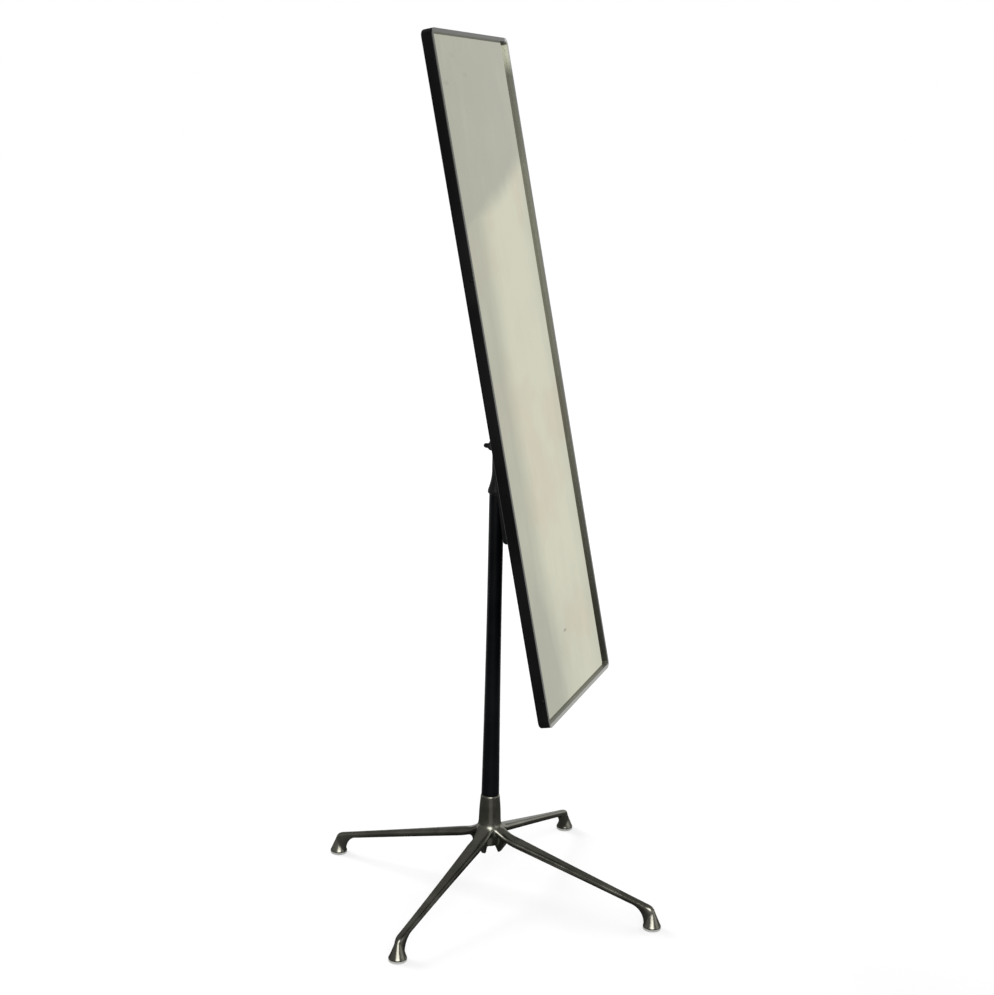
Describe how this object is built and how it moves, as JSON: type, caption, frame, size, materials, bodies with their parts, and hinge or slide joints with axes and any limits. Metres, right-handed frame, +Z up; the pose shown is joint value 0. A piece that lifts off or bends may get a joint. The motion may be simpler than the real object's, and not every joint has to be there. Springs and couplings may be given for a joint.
{
  "type": "tilting floor mirror",
  "caption": "Full-length framed mirror on a slim column that swivels and tilts, standing on a cast star base with flared feet.",
  "frame": {"origin": "on the floor, under the axis of the column, at the centre of the four feet", "axes": "+Z up, +X along the width of the mirror, and the glass faces -Y"},
  "size_m": [0.7268, 0.7268, 1.6405],
  "materials": {
    "cast_base": "cast and polished, tarnished dark",
    "glide_pad": "moulded, matt",
    "zinc_steel": "zinc plated",
    "spring_steel": "oiled, dark",
    "column_paint": "satin black",
    "bearing": "black acetal",
    "friction_lining": "brown fibre",
    "bracket_paint": "satin black",
    "pan_paint": "satin black",
    "packing": "felt strip",
    "hardboard": "smooth brown hardboard",
    "silvered_glass": "silvered float glass",
    "bezel_metal": "satin",
    "black_screws": "blacked"
  },
  "bodies": {
    "base": {"star_base": "cast_base", "glide_front": "glide_pad", "glide_right": "glide_pad", "glide_back": "glide_pad", "glide_left": "glide_pad", "hub_bolt": "zinc_steel", "hub_spring_washer": "spring_steel", "hub_washer": "zinc_steel", "column_foot_plug": "zinc_steel", "column_tube": "column_paint", "thrust_washer": "bearing", "upper_bush": "bearing", "lower_bush": "bearing"},
    "head": {"tilt_head": "bracket_paint", "swivel_spindle": "zinc_steel", "spindle_clip": "spring_steel"},
    "panel": {"pivot_bolt": "spring_steel", "friction_washers": "friction_lining", "bolt_head_washer": "zinc_steel", "clamp_washer": "zinc_steel", "disc_spring": "spring_steel", "tilt_yoke": "bracket_paint", "mounting_plate": "bracket_paint", "plate_screws": "spring_steel", "nut_plate": "zinc_steel", "rear_pan": "pan_paint", "foam_strips": "packing", "backing_board": "hardboard", "mirror_glass": "silvered_glass", "bezel_top": "bezel_metal", "bezel_bottom": "bezel_metal", "bezel_left": "bezel_metal", "bezel_right": "bezel_metal", "pan_screws": "black_screws"},
    "clamp": {"wing_nut": "bracket_paint"}
  },
  "joints": [
    {"name": "mirror_swivel", "type": "hinge", "parent": "base", "child": "head", "pos_m": [0, 0, 0.801], "axis": [0, 0, 1], "continuous": true},
    {"name": "mirror_tilt", "type": "hinge", "parent": "head", "child": "panel", "pos_m": [0, 0, 0.897], "axis": [-1, 0, 0], "range_deg": [-14.4, 18.6]},
    {"name": "clamp_turn", "type": "hinge", "parent": "panel", "child": "clamp", "pos_m": [-0.032, 0, 0.897], "axis": [-1, 0, 0], "range_deg": [0, 270]}
  ]
}
